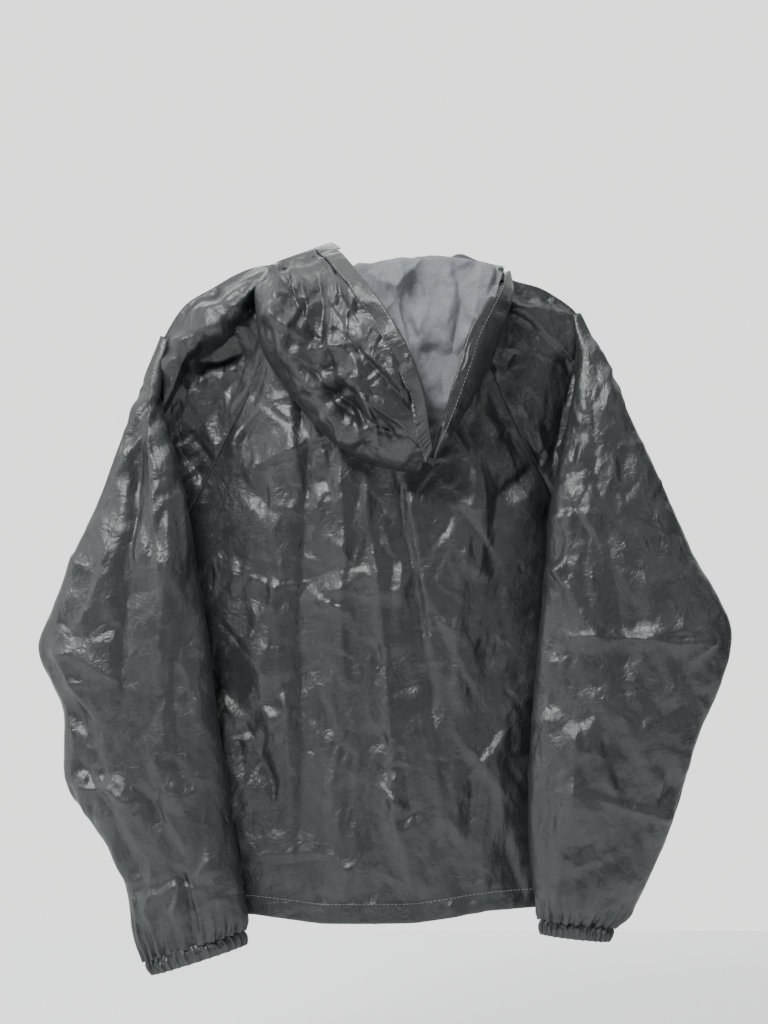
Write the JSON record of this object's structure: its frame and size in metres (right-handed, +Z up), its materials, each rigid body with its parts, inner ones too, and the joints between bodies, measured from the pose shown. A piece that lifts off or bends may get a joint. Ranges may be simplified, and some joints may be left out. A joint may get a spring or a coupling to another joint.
{
  "type": "hooded hardshell jacket",
  "caption": "Hooded raglan hardshell rain jacket hanging with its front zip undone, with elastic cuffs and a storm flap.",
  "frame": {"origin": "middle of the neck opening, level with the seat that a hanger's shoulders bear on", "axes": "+Z up, +Y out of the wearer's back, +X towards the wearer's left hand"},
  "size_m": [0.6824, 0.1899, 0.7346],
  "materials": {
    "shell_cloth": "satin",
    "lining_face": "matte",
    "elastic": "matte",
    "tape": "matte",
    "label": "satin",
    "thread": "matte",
    "zip_teeth": "satin",
    "zip_metal": "satin",
    "zip_pull": "matte",
    "stud_metal": "satin"
  },
  "bodies": {
    "torso": {"back_panel": "shell_cloth", "front_left_panel": "shell_cloth", "front_right_panel": "shell_cloth", "sleeve_left_shoulder_back": "shell_cloth", "sleeve_left_shoulder_front": "shell_cloth", "sleeve_right_shoulder_back": "shell_cloth", "sleeve_right_shoulder_front": "shell_cloth", "collar_left": "lining_face", "collar_right": "lining_face", "neck_tape": "lining_face", "hang_loop": "tape", "care_label": "label"},
    "arm_left": {"sleeve_left_back": "shell_cloth", "sleeve_left_front": "shell_cloth", "cuff_left_casing": "shell_cloth", "cuff_left_elastic": "elastic"},
    "arm_right": {"sleeve_right_back": "shell_cloth", "sleeve_right_front": "shell_cloth", "cuff_right_casing": "shell_cloth", "cuff_right_elastic": "elastic"},
    "hood": {"hood_left_panel": "shell_cloth", "hood_right_panel": "shell_cloth", "hood_face_casing": "shell_cloth", "hood_face_elastic": "elastic"},
    "front_left": {"front_left_edge": "shell_cloth", "zip_tape_left": "tape", "zip_chain_left": "zip_teeth", "zip_top_stop_left": "zip_metal", "zip_insertion_pin": "zip_metal"},
    "front_right": {"front_right_edge": "shell_cloth", "zip_tape_right": "tape", "zip_chain_right": "zip_teeth", "zip_top_stop_right": "zip_metal", "zip_retainer_box": "zip_metal", "snap_stud_1": "stud_metal", "snap_stud_2": "stud_metal", "snap_stud_3": "stud_metal", "snap_stud_4": "stud_metal", "snap_stud_5": "stud_metal"},
    "flap": {"storm_flap": "shell_cloth", "snap_cap_1": "stud_metal", "snap_cap_2": "stud_metal", "snap_cap_3": "stud_metal", "snap_cap_4": "stud_metal", "snap_cap_5": "stud_metal"},
    "slider": {"zip_slider": "zip_metal"},
    "pull": {"zip_pull": "zip_pull"}
  },
  "joints": [
    {"name": "sleeve_left_swing", "type": "hinge", "parent": "torso", "child": "arm_left", "pos_m": [0.222, 0.011, -0.075], "axis": [0, -1, 0], "range_deg": [0, 60]},
    {"name": "sleeve_right_swing", "type": "hinge", "parent": "torso", "child": "arm_right", "pos_m": [-0.212, 0.011, -0.047], "axis": [0, 1, 0], "range_deg": [0, 60]},
    {"name": "hood_turn", "type": "hinge", "parent": "torso", "child": "hood", "pos_m": [0, 0.05, 0.004], "axis": [1, 0, 0], "range_deg": [0, 95]},
    {"name": "front_left_open", "type": "hinge", "parent": "torso", "child": "front_left", "pos_m": [0.038, -0.058, -0.07], "axis": [-0.2425, 0, 0.9701], "range_deg": [0, 80]},
    {"name": "front_right_open", "type": "hinge", "parent": "torso", "child": "front_right", "pos_m": [-0.038, -0.058, -0.07], "axis": [-0.2425, 0, -0.9701], "range_deg": [0, 80]},
    {"name": "storm_flap_fold", "type": "hinge", "parent": "front_left", "child": "flap", "pos_m": [0.036, -0.0589, -0.34], "axis": [0, 0, 1], "range_deg": [0, 60]},
    {"name": "zip_slide", "type": "slide", "parent": "front_right", "child": "slider", "axis": [0, 0, 1], "range_m": [0, 0.485]},
    {"name": "zip_pull_swing", "type": "hinge", "parent": "slider", "child": "pull", "pos_m": [-0.0108, -0.0635, -0.586], "axis": [-1, 0, 0], "range_deg": [0, 120]}
  ]
}
